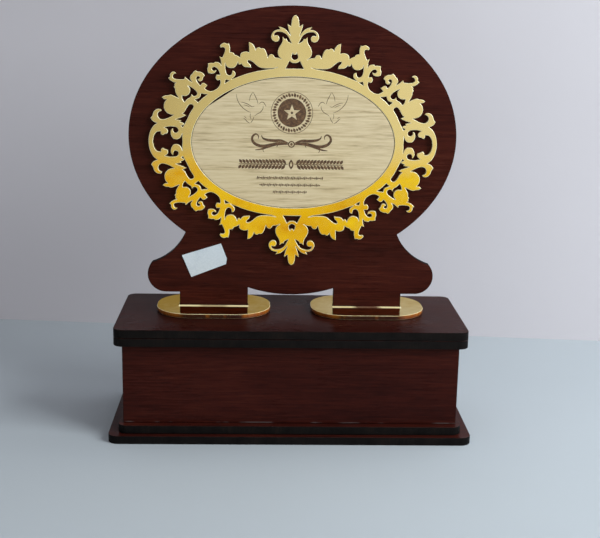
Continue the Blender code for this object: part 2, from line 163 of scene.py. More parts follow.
SIDE_OPENING = [
    (70.9, 0, 1), (71.1, 2.5), (70.9, 5.5, 1), (71.9, 3.3), (73.2, 2), (74.9, 1.6),
    (76.7, 1.9, 1), (77.9, 3.6), (78.4, 5.8), (78, 7.6), (76.9, 8.6, 1), (76.8, 6.9),
    (75.9, 5.8), (74.6, 5.8), (73.6, 6.7), (73.6, 8), (74.6, 9.2), (76.6, 9.7),
    (79.5, 9.7), (82.4, 9.1, 1), (80.9, 8.2), (80.1, 6.8), (80.5, 5.3, 1), (82.1, 4.9),
    (83.5, 4.1, 1), (84.6, 4.9), (84.7, 6.5, 1), (87.2, 6.1), (89, 3.8), (89.8, 0, 1)]

UNDER_ACANTHUS = [
    (10.4, 48.1, 1), (13, 47.5), (16.5, 47.2), (20, 47.3), (22.6, 48), (24.4, 49.3),
    (26.4, 51), (28.3, 52), (29.6, 51.8), (29.3, 50.6), (27.9, 49.2), (27.4, 47.5, 1),
    (29.2, 47.7), (31.3, 47.9), (32.7, 48.7), (33.6, 49.9, 1), (34.4, 49.3), (35.3, 49.5),
    (35.8, 51, 1), (36.5, 49.1), (37.9, 47.5), (39.9, 47), (41.9, 47.4), (43.3, 48.6),
    (43.7, 50.2, 1), (43.7, 47.2), (43.3, 44.6), (42.5, 43), (41.2, 42.4), (39.9, 42.9),
    (39.4, 44), (39.2, 45.4, 1), (38, 45), (37.3, 43.6), (37.8, 41.9), (39.9, 40, 1),
    (36.6, 41.2), (31, 43.3), (25, 45), (19, 46.2), (13.5, 47, 1)]

STEM_EYE = [(40.9, 39.2, 1), (43.5, 39.8, 1), (44, 37.4, 1)]

FORK_EYE = [
    (54.9, 30.3, 1), (59, 30.8, 1), (59.3, 29.3), (60.1, 28, 1), (63.1, 26.9, 1),
    (61.8, 26), (60.9, 25.1, 1), (58, 27.9)]

UNDER_TULIP = [
    (67.2, 35.6, 1), (65.3, 34.7), (63.2, 33.3), (61.7, 31.7), (61.5, 30.3), (62.4, 29.3),
    (63.8, 29.1), (65.1, 30.2, 1), (65.6, 28.6), (67.7, 27.2), (69.5, 25.3, 1), (70.7, 27.2),
    (71, 29.3, 1), (68.6, 29.2), (66.8, 30.2), (65.9, 31.9), (66, 33.8)]

SIDE_SLOT = [
    (65.6, 24), (66.9, 23.3), (68.2, 21.4), (69.4, 19.2), (70.9, 17.9, 1), (68.5, 16.9, 1),
    (71, 15.7), (75.3, 14.2, 1), (71.6, 13.5, 1), (72.4, 12.6, 1), (70.4, 12), (69.8, 11.1, 1),
    (71.8, 10.2, 1), (70.7, 9.2, 1), (68.1, 14.1), (65.8, 18.8), (63.8, 22), (64.2, 23.5)]

QUARTER_EDGE = CREST + ACANTHUS + BUD + INNER_SCROLL + OUTER_SCROLL + TULIPS + SIDE_HOOK
QUARTER_OPENINGS = [UNDER_ACANTHUS, STEM_EYE, FORK_EYE, UNDER_TULIP, SIDE_SLOT]


# ---------------------------------------------------------------- outlines

def arc(centre, radius, start, end, step=ARC_STEP):
    """Points along a circular arc, both ends included."""
    count = max(2, round(abs(end - start) / step))
    angles = [start + (end - start) * i / count for i in range(count + 1)]
    return [(centre[0] + radius * cos(a), centre[1] + radius * sin(a)) for a in angles]


def rounded_rectangle(width, depth, corner, centre=(0.0, 0.0)):
    points = []
    for quarter, (sx, sy) in enumerate([(1, 1), (-1, 1), (-1, -1), (1, -1)]):
        turning = (centre[0] + sx * (width / 2 - corner), centre[1] + sy * (depth / 2 - corner))
        points += arc(turning, corner, quarter * pi / 2, (quarter + 1) * pi / 2)
    return points


def rectangle(width, depth, centre=(0.0, 0.0)):
    x, y = width / 2, depth / 2
    return [(centre[0] + sx * x, centre[1] + sy * y) for sx, sy in [(1, 1), (-1, 1), (-1, -1), (1, -1)]]


def ellipse(semi_x, semi_z, centre_z):
    angles = [2 * pi * i / OVAL_STEPS for i in range(OVAL_STEPS)]
    return [(semi_x * cos(a), centre_z + semi_z * sin(a)) for a in angles]


def circle(radius, centre, count=48):
    return [(centre[0] + radius * cos(2 * pi * i / count), centre[1] + radius * sin(2 * pi * i / count))
            for i in range(count)]


def arc_through(start, middle, end, count):
    """A circular arc through three points, without its first point."""
    (ax, ay), (bx, by), (cx, cy) = start, middle, end
    d = 2 * (ax * (by - cy) + bx * (cy - ay) + cx * (ay - by))
    a2, b2, c2 = ax * ax + ay * ay, bx * bx + by * by, cx * cx + cy * cy
    ux = (a2 * (by - cy) + b2 * (cy - ay) + c2 * (ay - by)) / d
    uy = (a2 * (cx - bx) + b2 * (ax - cx) + c2 * (bx - ax)) / d
    first, last = atan2(ay - uy, ax - ux), atan2(cy - uy, cx - ux)
    sweep = (last - first + pi) % (2 * pi) - pi
    radius = hypot(ax - ux, ay - uy)
    angles = [first + sweep * i / count for i in range(1, count + 1)]
    return [(ux + radius * cos(a), uy + radius * sin(a)) for a in angles]


def board_outline():
    """The oval, its two round feet with tabs, and the belly between the tabs."""
    waist_angle = -atan2(sqrt(1 - (WAIST_X / OVAL_X) ** 2), WAIST_X / OVAL_X)
    steps = OVAL_STEPS // 2
    half = []
    for i in range(steps + 1):
        a = pi / 2 + (waist_angle - pi / 2) * i / steps
        half.append((OVAL_X * cos(a), OVAL_CENTRE_Z + OVAL_Z * sin(a)))
    foot = arc((FOOT_CENTRE_X, FOOT_CENTRE_Z), FOOT_RADIUS, EAR_ANGLE, -pi / 2)
    half += arc_through(half[-1], SWEEP_MID, foot[0], 24)[:-1] + foot
    outer, inner = TAB_X + TAB_WIDTH / 2, TAB_X - TAB_WIDTH / 2
    half += [(outer, foot[-1][1]), (outer, TAB_FOOT_Z), (inner, TAB_FOOT_Z), (inner, BELLY_TOP_Z)]
    half += arc_through((inner, BELLY_TOP_Z), (0.0, BELLY_BOTTOM_Z), (-inner, BELLY_TOP_Z), 36)[:18]
    half[0] = (0.0, half[0][1])
    half[-1] = (0.0, half[-1][1])
    return half + [(-x, z) for x, z in reversed(half) if abs(x) > 1e-9]


def flipped(points, sx, sz):
    return [(sx * p[0], sz * p[1]) + tuple(p[2:]) for p in points]


def joined(first, second):
    """Two runs end to end, without doubling a shared end point."""
    if first[-1][:2] == second[0][:2]:
        return first + second[1:]
    return first + second


def closed(points):
    return points[:-1] if points[0][:2] == points[-1][:2] else points


def four_quarters(quarter):
    right = joined(quarter, flipped(quarter[::-1], 1, -1))
    return closed(joined(right, flipped(right[::-1], -1, 1)))


def spline_point(p0, p1, p2, p3, t):
    weights = ((-t + 2 * t * t - t ** 3) / 2, (2 - 5 * t * t + 3 * t ** 3) / 2,
               (t + 4 * t * t - 3 * t ** 3) / 2, (t ** 3 - t * t) / 2)
    return tuple(sum(w * p[axis] for w, p in zip(weights, (p0, p1, p2, p3))) for axis in (0, 1))


def smooth_outline(points, step=LEAF_STEP):
    """A closed Catmull-Rom curve through the points, straight-ended at the sharp ones."""
    count = len(points)
    outline = []
    for i in range(count):
        p0, p1, p2, p3 = (points[(i + k) % count] for k in (-1, 0, 1, 2))
        before = p1 if len(p1) > 2 else p0
        after = p2 if len(p2) > 2 else p3
        pieces = max(1, round(hypot(p2[0] - p1[0], p2[1] - p1[1]) / step))
        outline += [spline_point(before, p1, p2, after, j / pieces) for j in range(pieces)]
    return outline


def filigree_outlines():
    """The filigree's outer edge, every opening in it, and the ring's inner edge."""
    shapes = [four_quarters(QUARTER_EDGE)]
    for half in (CREST_EYE, CREST_GAP):
        whole = closed(joined(half, flipped(half[::-1], -1, 1)))
        shapes += [whole, flipped(whole, 1, -1)]
    side = closed(joined(SIDE_OPENING, flipped(SIDE_OPENING[::-1], 1, -1)))
    shapes += [side, flipped(side, -1, 1)]
    for opening in QUARTER_OPENINGS:
        shapes += [flipped(opening, sx, sz) for sx in (1, -1) for sz in (1, -1)]
    outlines = [[(x * MM, z * MM + RING_CENTRE_Z) for x, z in smooth_outline(s)] for s in shapes]
    return outlines + [ellipse(RING_INNER_X, RING_INNER_Z, RING_CENTRE_Z)]


# ---------------------------------------------------------------- sheets cut from outlines

def turned(loop, left):
    """The loop as an array, running anticlockwise, or clockwise for an opening."""
    points = np.array([p[:2] for p in loop], float)
    x, y = points[:, 0], points[:, 1]
    area = np.sum(x * np.roll(y, -1) - y * np.roll(x, -1))
    return points if (area > 0) == left else points[::-1].copy()


def local_widths(loops, normals):
    """How far it is from each point, straight into the material, to the next cut edge."""
    starts = np.vstack(loops)
    ends = np.vstack([np.roll(loop, -1, 0) for loop in loops])
    edge = ends - starts
    widths = []
    for loop, normal in zip(loops, normals):
        found = np.full(len(loop), 1.0)
        for first in range(0, len(loop), 256):
            p, n = loop[first:first + 256, None], normal[first:first + 256, None]
            gap = starts[None] - p
            cross = n[..., 0] * edge[None, :, 1] - n[..., 1] * edge[None, :, 0]
            cross = np.where(np.abs(cross) < 1e-15, 1e-15, cross)
            along = (gap[..., 0] * edge[None, :, 1] - gap[..., 1] * edge[None, :, 0]) / cross
            part = (gap[..., 0] * n[..., 1] - gap[..., 1] * n[..., 0]) / cross
            hit = (part > -1e-6) & (part < 1 + 1e-6) & (along > 2e-6)
            found[first:first + 256] = np.where(hit, along, 1.0).min(1)
        widths.append(found)
    return widths


def inset(loops, width):
    """The outlines drawn in by a width that narrows where the material does."""
    normals, stretch = [], []
    for loop in loops:
        edge = np.roll(loop, -1, 0) - loop
        edge /= np.linalg.norm(edge, axis=1)[:, None]
        side = np.stack([-edge[:, 1], edge[:, 0]], 1)
        both = side + np.roll(side, 1, 0)
        length = np.linalg.norm(both, axis=1).clip(0.2)
        normals.append(both / length[:, None])
        stretch.append((2 / length).clip(1, 2.2))
    drawn = []
    for loop, normal, more, local in zip(loops, normals, stretch, local_widths(loops, normals)):
        reach = np.minimum(width * more, 0.36 * local)
        for _ in range(3):
            reach = np.minimum(reach, (np.roll(reach, 1) + 2 * reach + np.roll(reach, -1)) / 4)
        drawn.append(loop + normal * reach[:, None])
    return drawn


def placed(points, height, upright):
    if upright:
        return [(u, height, v) for u, v in points]
    return [(u, v, height) for u, v in points]


def ring_of(bm, points, height, upright):
    return [bm.verts.new(co) for co in placed(points, height, upright)]


def loop_edges(bm, ring):
    return [bm.edges.get((a, b)) or bm.edges.new((a, b)) for a, b in zip(ring, ring[1:] + ring[:1])]


def strip(bm, first, second, material, smooth):
    for i in range(len(first)):
        j = (i + 1) % len(first)
        face = bm.faces.new((first[i], first[j], second[j], second[i]))
        face.material_index = material
        face.smooth = smooth


def cap_faces(bm, rings, material):
    edges = [edge for ring in rings for edge in loop_edges(bm, ring)]
    made = bmesh.ops.triangle_fill(bm, use_beauty=True, use_dissolve=False, edges=edges)
    for face in made["geom"]:
        if isinstance(face, bmesh.types.BMFace):
            face.material_index = material


def sharpen(bm, angle=radians(24)):
    for edge in bm.edges:
        if len(edge.link_faces) == 2 and edge.calc_face_angle(0.0) > angle:
            edge.smooth = False


def mesh_object(name, bm, materials):
    bmesh.ops.remove_doubles(bm, verts=bm.verts, dist=1e-7)
    bmesh.ops.recalc_face_normals(bm, faces=bm.faces)
    sharpen(bm)
    mesh = bpy.data.meshes.new(name)
    bm.to_mesh(mesh)
    bm.free()
    obj = bpy.data.objects.new(name, mesh)
    bpy.context.scene.collection.objects.link(obj)
    for material in materials:
        mesh.materials.append(material)
    return obj


def cut_edge(bm, loop, inner, low, high, depth, upright):
    """The edge along one cut: broken edge, side, broken edge. Returns its lowest and highest ring."""
    rings = [ring_of(bm, inner, low, upright), ring_of(bm, loop, low + depth, upright),
             ring_of(bm, loop, high - depth, upright), ring_of(bm, inner, high, upright)]
    for k, material in enumerate((1, 2, 1)):
        strip(bm, rings[k], rings[k + 1], material, True)
    return rings[0], rings[3]


def sheet(name, outlines, low, high, materials, upright=False, broken=EDGE_BREAK, depth=None):
    """A sheet cut to its outlines. Its materials are face, broken edge and cut side."""
    depth = broken if depth is None else depth
    loops = [turned(outline, i == 0) for i, outline in enumerate(outlines)]
    drawn = inset(loops, broken)
    bm = bmesh.new()
    ends = [cut_edge(bm, loop, inner, low, high, depth, upright) for loop, inner in zip(loops, drawn)]
    for rings in zip(*ends):
        cap_faces(bm, rings, 0)
    return mesh_object(name, bm, materials)


# ---------------------------------------------------------------- node materials

class Finish:
    """A node material, built from short calls."""

    def __init__(self, name, roughness=0.5, metallic=0.0, **sockets):
        self.material = bpy.data.materials.new(name)
        self.material.use_nodes = True
        self.tree = self.material.node_tree
        self.shader = self.tree.nodes["Principled BSDF"]
        self.shader.inputs["Roughness"].default_value = roughness
        self.shader.inputs["Metallic"].default_value = metallic
        for socket, value in sockets.items():
            self.shader.inputs[socket.replace("_", " ")].default_value = value
        self.coordinates = self.add("ShaderNodeTexCoord").outputs["Object"]

    def add(self, kind, **settings):
        node = self.tree.nodes.new(kind)
        for key, value in settings.items():
            setattr(node, key, value)
        return node

    def link(self, source, target):
        self.tree.links.new(source, target)

    def put(self, value, target):
        if isinstance(value, (int, float)):
            target.default_value = value
        elif isinstance(value, tuple):
            target.default_value = (*value, 1.0)[:len(target.default_value)]
        else:
            self.link(value, target)

    def stretched(self, scale, shift=(0.0, 0.0, 0.0)):
        node = self.add("ShaderNodeMapping")
        node.inputs["Scale"].default_value = scale
        node.inputs["Location"].default_value = shift
        self.link(self.coordinates, node.inputs["Vector"])
        return node.outputs["Vector"]

    def noise(self, vector, scale=1.0, detail=3.0, roughness=0.5, distortion=0.0):
        node = self.add("ShaderNodeTexNoise")
        self.link(vector, node.inputs["Vector"])
        for socket, value in (("Scale", scale), ("Detail", detail), ("Roughness", roughness),
                              ("Distortion", distortion)):
            node.inputs[socket].default_value = value
        return node.outputs["Fac"]

    def ramp(self, value, stops):
        node = self.add("ShaderNodeValToRGB")
        self.link(value, node.inputs["Fac"])
        elements = node.color_ramp.elements
        while len(elements) < len(stops):
            elements.new(0.5)
        for element, (position, colour) in zip(elements, stops):
            element.position = position
            element.color = (*colour, 1.0) if isinstance(colour, tuple) else (colour, colour, colour, 1.0)
        return node.outputs["Color"]

    def maths(self, operation, a, b=0.0, c=0.0):
        node = self.add("ShaderNodeMath", operation=operation)
        for target, value in zip(node.inputs, (a, b, c)):
            self.put(value, target)
        return node.outputs["Value"]

    def weighed(self, a, share_a, b, share_b):
        return self.maths("ADD", self.maths("MULTIPLY", a, share_a), self.maths("MULTIPLY", b, share_b))

    def span(self, value, from_low, from_high, to_low=0.0, to_high=1.0):
        node = self.add("ShaderNodeMapRange")
        for target, item in zip(node.inputs, (value, from_low, from_high, to_low, to_high)):
            self.put(item, target)
        return node.outputs["Result"]

    def axes(self, names):
        node = self.add("ShaderNodeSeparateXYZ")
        self.link(self.coordinates, node.inputs["Vector"])
        return [node.outputs[name] for name in names]

    def mixed(self, factor, a, b):
        node = self.add("ShaderNodeMix", data_type="RGBA")
        for index, value in ((0, factor), (6, a), (7, b)):
            self.put(value, node.inputs[index])
        return node.outputs[2]

    def colour(self, value):
        self.put(value, self.shader.inputs["Base Color"])

    def rough(self, value):
        self.put(value, self.shader.inputs["Roughness"])

    def bump(self, height, distance, strength=1.0):
        node = self.add("ShaderNodeBump")
        node.inputs["Distance"].default_value = distance
        node.inputs["Strength"].default_value = strength
        self.link(height, node.inputs["Height"])
        self.link(node.outputs["Normal"], self.shader.inputs["Normal"])


def grain_scale(along, across, axis):
    return tuple(along if i == axis else across for i in range(3))


def walnut_face(name, axis=0, shift=(0.0, 0.0, 0.0), lift=1.0, gloss=0.4, worn=None):
    """Satin laminate with a fine printed walnut grain that runs along one axis."""
    f = Finish(name, roughness=0.28, IOR=1.16, Specular_IOR_Level=gloss)
    broad = f.noise(f.stretched(grain_scale(7, 45, axis), shift), detail=4, roughness=0.6, distortion=0.4)
    lines = f.noise(f.stretched(grain_scale(40, 820, axis), shift), detail=5, roughness=0.7, distortion=0.3)
    pores = f.noise(f.stretched(grain_scale(170, 2100, axis), shift), detail=2, roughness=0.5)
    tone = f.weighed(broad, 0.4, lines, 0.6)
    dark, mid, red, warm = ((0.020, 0.0040, 0.0031), (0.039, 0.0072, 0.0050),
                            (0.056, 0.0104, 0.0066), (0.084, 0.0200, 0.0110))
    stops = [(0.34, dark), (0.47, mid), (0.57, red), (0.70, warm)]
    # A lift below 1 makes a darker copy of the same laminate: painted shade.
    wood = f.ramp(tone, [(p, tuple(lift * v for v in c)) for p, c in stops])
    pore = f.ramp(pores, [(0.30, 0.0), (0.42, 1.0)])
    wood = f.mixed(f.maths("MULTIPLY", f.maths("SUBTRACT", 1.0, pore), 0.5), wood, (0.014, 0.004, 0.004))
    # Glue beads, their pale colour partly a painted glint, are added here where given.
    if worn:
        wood = worn(f, wood)
    f.colour(wood)
    cloud = f.noise(f.coordinates, scale=38, detail=3)
    f.rough(f.span(f.weighed(cloud, 0.6, lines, 0.4),
                   0.3, 0.7, 0.24, 0.34))
    f.bump(f.maths("ADD", lines, f.maths("MULTIPLY", pore, 0.6)), 0.00004, 0.55)
    return f.material


def charred_side(name, through):
    """The laser-cut side of a board: near black, with fine striations through the thickness."""
    f = Finish(name, roughness=0.6, Specular_IOR_Level=0.06)
    scale = tuple(120 if i == through else 2300 for i in range(3))
    lines = f.noise(f.stretched(scale), detail=3, roughness=0.6)
    soot = f.noise(f.coordinates, scale=90, detail=3)
    f.colour(f.ramp(f.weighed(lines, 0.5, soot, 0.5),
                    [(0.36, (0.0035, 0.0028, 0.0028)), (0.55, (0.0075, 0.006, 0.0055)),
                     (0.70, (0.019, 0.011, 0.008))]))
    f.rough(f.span(soot, 0.3, 0.7, 0.5, 0.7))
    f.bump(lines, 0.00008, 0.7)
    return f.material


def charred_arris(name):
    """The burnt line where the laminate meets the cut."""
    f = Finish(name, roughness=0.6, Specular_IOR_Level=0.08)
    patch = f.noise(f.coordinates, scale=260, detail=2)
    f.colour(f.ramp(patch, [(0.35, (0.006, 0.004, 0.004)), (0.62, (0.022, 0.009, 0.007))]))
    f.rough(f.span(patch, 0.3, 0.7, 0.5, 0.7))
    return f.material


def gold_mirror(name, roughness=0.10, deep=(0.90, 0.69, 0.26), pale=(0.95, 0.76, 0.32), drift=0.0,
                edge_tint=(1.0, 1.0, 1.0, 1.0)):
    """The mirror face of the acrylic, with the faint unevenness that moulded sheet has."""
    f = Finish(name, roughness=roughness, metallic=1.0, Specular_Tint=edge_tint)
    swell = f.noise(f.coordinates, scale=16, detail=2, roughness=0.4)
    haze = f.noise(f.coordinates, scale=210, detail=3)
    x, = f.axes("X")
    tone = f.weighed(swell, 0.7, haze, 0.3)
    # drift tilts the tone along x; on the pads it is a painted reflection, lighter on the right pad.
    f.colour(f.ramp(f.maths("ADD", tone, f.maths("MULTIPLY", x, drift)), [(0.35, deep), (0.65, pale)]))
    f.rough(f.span(haze, 0.3, 0.7, roughness - 0.03, roughness + 0.04))
    f.bump(swell, 0.0010, 0.12)
    return f.material


def pale_rim_and_highlight(name):
    """Pale, slightly frosted edge left by the laser round the mirror face; its cream colour is partly a
    painted highlight of light caught by the cut edge.
    """
    f = Finish(name, roughness=0.32, Coat_Weight=0.4, Coat_Roughness=0.1)
    frost = f.noise(f.coordinates, scale=320, detail=3)
    f.colour(f.ramp(frost, [(0.32, (0.80, 0.64, 0.28)), (0.66, (0.98, 0.90, 0.56))]))
    f.rough(f.span(frost, 0.3, 0.7, 0.24, 0.42))
    return f.material


def side_acrylic(name, through, pale, deep, shaded=None):
    """Cut side of the tinted acrylic: glossy, striped through the thickness."""
    f = Finish(name, roughness=0.2, Coat_Weight=0.6, Coat_Roughness=0.05)
    scale = tuple(160 if i == through else 1500 for i in range(3))
    lines = f.noise(f.stretched(scale), detail=3, roughness=0.6)
    drift = f.noise(f.coordinates, scale=60, detail=2)
    tint = f.ramp(f.weighed(lines, 0.45, drift, 0.55),
                  [(0.36, deep), (0.64, pale)])
    if shaded:
        tint = shaded(f, tint)
    f.colour(tint)
    f.rough(f.span(lines, 0.3, 0.7, 0.14, 0.30))
    f.bump(lines, 0.00006, 0.5)
    return f.material


def painted_tab_reflection(f, tint):
    """Painted reflection: the side turns dark where it would carry the image of the tab, lightened by painted
    glints, and darker and redder towards the foot of the pad.
    """
    x, z = f.axes("XZ")
    off_tab = f.maths("ABSOLUTE", f.maths("SUBTRACT", f.maths("ABSOLUTE", x), TAB_X))
    # painted reflection: the dark image of the tab on the cut side
    dark = f.maths("SUBTRACT", 1.0, f.span(off_tab, 0.40 * TAB_WIDTH, 0.53 * TAB_WIDTH))
    # painted glints that lighten that reflection in fine streaks
    painted_glint = f.ramp(f.noise(f.stretched((95, 1, 1), (0.4, 0.0, 0.0)), detail=2), [(0.56, 0.0), (0.68, 0.7)])
    dark = f.maths("MULTIPLY", dark, f.maths("SUBTRACT", 0.92, painted_glint))
    low = f.maths("SUBTRACT", 1.0, f.span(z, PAD_Z + 0.4 * MM, PAD_Z + 2.3 * MM))
    tint = f.mixed(f.maths("MULTIPLY", low, 0.75), tint, (0.085, 0.010, 0.003))
    return f.mixed(dark, tint, (0.024, 0.0065, 0.0035))


def painted_slot_light(name):
    """Painted light: a pale strip that glows faintly, standing for light caught by the frosted cut of a slot,
    broken where glue has run into it.
    """
    f = Finish(name, roughness=0.25, Coat_Weight=0.5, Coat_Roughness=0.08)
    # faint emission paints the strip as lit
    f.shader.inputs["Emission Strength"].default_value = 0.32
    frost = f.noise(f.stretched((90, 900, 900)), detail=2, roughness=0.5)
    x, = f.axes("X")
    off_tab = f.maths("ABSOLUTE", f.maths("SUBTRACT", f.maths("ABSOLUTE", x), TAB_X))
    smear = f.noise(f.stretched((150, 300, 4), (0.9, 0.0, 0.0)), detail=3, roughness=0.6)
    glued = f.maths("SUBTRACT", 1.0, f.span(f.maths("ADD", off_tab, f.maths("MULTIPLY", smear, 6 * MM)),
                                            9 * MM, 13 * MM))
    glued = f.maths("MULTIPLY", glued, f.span(x, -TAB_X, TAB_X, 0.45, 0.95))
    pale = f.ramp(frost, [(0.3, (0.84, 0.68, 0.30)), (0.7, (0.98, 0.90, 0.55))])
    tint = f.mixed(glued, pale, (0.13, 0.055, 0.035))
    f.colour(tint)
    f.link(tint, f.shader.inputs["Emission Color"])
    return f.material


def oak_face(name):
    """Light oak laminate: level, slightly wavy grain lines."""
    f = Finish(name, roughness=0.45, Specular_IOR_Level=0.35)
    wave = f.noise(f.stretched((14, 14, 60), (3.1, 0.0, 1.7)), detail=3, roughness=0.5)
    x, z = f.axes("XZ")
    bent = f.add("ShaderNodeCombineXYZ")
    f.link(f.maths("MULTIPLY", x, 60.0), bent.inputs["X"])
    f.link(f.maths("ADD", f.maths("MULTIPLY", z, 900.0), f.maths("MULTIPLY", wave, 4.0)), bent.inputs["Z"])
    lines = f.noise(bent.outputs["Vector"], detail=4, roughness=0.62)
    long_lines = f.noise(f.stretched((16, 16, 420), (0.4, 0.0, 5.0)), detail=3, roughness=0.55,
                         distortion=0.5)
    tone = f.weighed(lines, 0.55, long_lines, 0.45)
    wood = f.ramp(tone, [(0.36, (0.400, 0.300, 0.160)), (0.45, (0.640, 0.510, 0.300)),
                         (0.55, (0.745, 0.615, 0.385)), (0.66, (0.790, 0.670, 0.435))])
    cloud = f.noise(f.stretched((18, 18, 34), (9.0, 0.0, 0.0)), detail=2)
    f.colour(f.mixed(f.span(cloud, 0.35, 0.7, 0.0, 0.3), wood, (0.68, 0.54, 0.29)))
    f.rough(f.span(lines, 0.3, 0.7, 0.50, 0.38))
    f.bump(tone, 0.00005, 0.5)
    return f.material


def burnt_oak(name):
    """Floor and walls of the laser engraving."""
    f = Finish(name, roughness=0.65)
    raster = f.noise(f.stretched((500, 500, 4200)), detail=2, roughness=0.6)
    patch = f.noise(f.coordinates, scale=420, detail=3, roughness=0.6)
    f.colour(f.ramp(f.weighed(raster, 0.4, patch, 0.6),
                    [(0.34, (0.040, 0.016, 0.006)), (0.52, (0.118, 0.054, 0.020)),
                     (0.68, (0.300, 0.165, 0.070))]))
    f.bump(f.maths("ADD", raster, patch), 0.00008, 0.6)
    return f.material


def label_paper(name):
    """Matt self-adhesive paper with fine fibres, a little grubby in patches."""
    f = Finish(name, roughness=0.72)
    fibres = f.noise(f.stretched((900, 900, 1400)), detail=4, roughness=0.65)
    grime = f.noise(f.coordinates, scale=120, detail=3)
    paper = f.ramp(fibres, [(0.3, (0.64, 0.715, 0.755)), (0.7, (0.74, 0.805, 0.85))])
    f.colour(f.mixed(f.span(grime, 0.46, 0.75, 0.0, 0.35), paper, (0.40, 0.47, 0.58)))
    f.bump(fibres, 0.00004, 0.5)
    return f.material


# ---------------------------------------------------------------- pieces

def stands_for(obj, node):
    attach(obj, "root")
    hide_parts(node)


ARRIS = charred_arris("burnt_arris")
CHAR_LEVEL = charred_side("charred_side_of_level_sheet", 2)
CHAR_UPRIGHT = charred_side("charred_side_of_upright_sheet", 1)


def board_materials(name, upright, **grain):
    return [walnut_face(name + "_laminate", **grain), ARRIS, CHAR_UPRIGHT if upright else CHAR_LEVEL]


def level_board(name, outlines, bottom, **grain):
    materials = board_materials(name, False, **grain)
    obj = sheet(name + "_cut", outlines, bottom, bottom + SHEET, materials)
    stands_for(obj, name)


def upright_board(name, outlines, front, **grain):
    materials = board_materials(name, True, **grain)
    obj = sheet(name + "_cut", outlines, front, front + SHEET, materials, upright=True)
    stands_for(obj, name)


def tab_slot(side):
    width, depth = TAB_WIDTH + 2 * SLOT_PLAY, SHEET + 2 * SLOT_PLAY
    return rectangle(width, depth, (side * TAB_X, BOARD_Y))


def base():
    lower = rounded_rectangle(LOWER_WIDTH, LOWER_DEPTH, LOWER_CORNER)
    upper = rounded_rectangle(UPPER_WIDTH, UPPER_DEPTH, UPPER_CORNER)
    level_board("plinth_lower_plate", [lower], 0.0, shift=(0.3, 0.7, 0.0))
    level_board("plinth_upper_plate", [upper], UPPER_Z, shift=(1.3, 2.7, 0.0))
    wall = rectangle(BOX_WIDTH, BOX_HEIGHT, (0.0, BOX_Z + BOX_HEIGHT / 2))
    # The front panel is the same laminate painted darker (lift 0.85): painted shade.
    upright_board("front_panel", [wall], -BOX_DEPTH / 2, shift=(4.0, 0.0, 2.0), lift=0.85, worn=glue_and_glint_at_foot)
    upright_board("back_panel", [wall], BOX_DEPTH / 2 - SHEET, shift=(7.0, 0.0, 5.0))
    side_depth = BOX_DEPTH - 2 * (SHEET + GLUE)
    for name, side in (("left_side_panel", -1), ("right_side_panel", 1)):
        centre = (side * (BOX_WIDTH - SHEET) / 2, 0.0)
        side_panel(name, rectangle(SHEET, side_depth, centre))
    cap = rounded_rectangle(CAP_WIDTH, CAP_DEPTH, CAP_CORNER)
    # The cap plates are the same laminate painted darker (lift 0.7): painted shade.
    for name, bottom in (("cap_lower_plate", CAP_LOWER_Z), ("cap_upper_plate", CAP_UPPER_Z)):
        level_board(name, [cap, tab_slot(-1), tab_slot(1)], bottom, shift=(bottom * 40, 0.0, 0.0),
                    lift=0.7, gloss=0.2)


def side_panel(name, outline):
    """A side wall: its wide faces are laminated, so the finish of its upright sides is the face."""
    laminate = walnut_face(name + "_laminate", axis=1, shift=(0.0, 3.0, 1.0))
    obj = sheet(name + "_cut", [outline], BOX_Z, BOX_Z + BOX_HEIGHT, [CHAR_LEVEL, ARRIS, laminate])
    stands_for(obj, name)


def glue_and_glint_at_foot(f, wood):
    """Thin whitish beads of dried glue along the foot of the panel; their pale colour is partly a painted
    glint on the beads.
    """
    z, = f.axes("Z")
    low = f.maths("SUBTRACT", 1.0, f.span(z, BOX_Z + 0.5 * MM, BOX_Z + 1.1 * MM))
    beads = f.noise(f.stretched((34, 0.01, 0.01), (2.3, 0.0, 0.0)), detail=3, roughness=0.6)
    broken = f.ramp(beads, [(0.50, 0.0), (0.58, 1.0)])
    return f.mixed(f.maths("MULTIPLY", low, f.maths("MULTIPLY", broken, 0.42)), wood, (0.20, 0.17, 0.165))


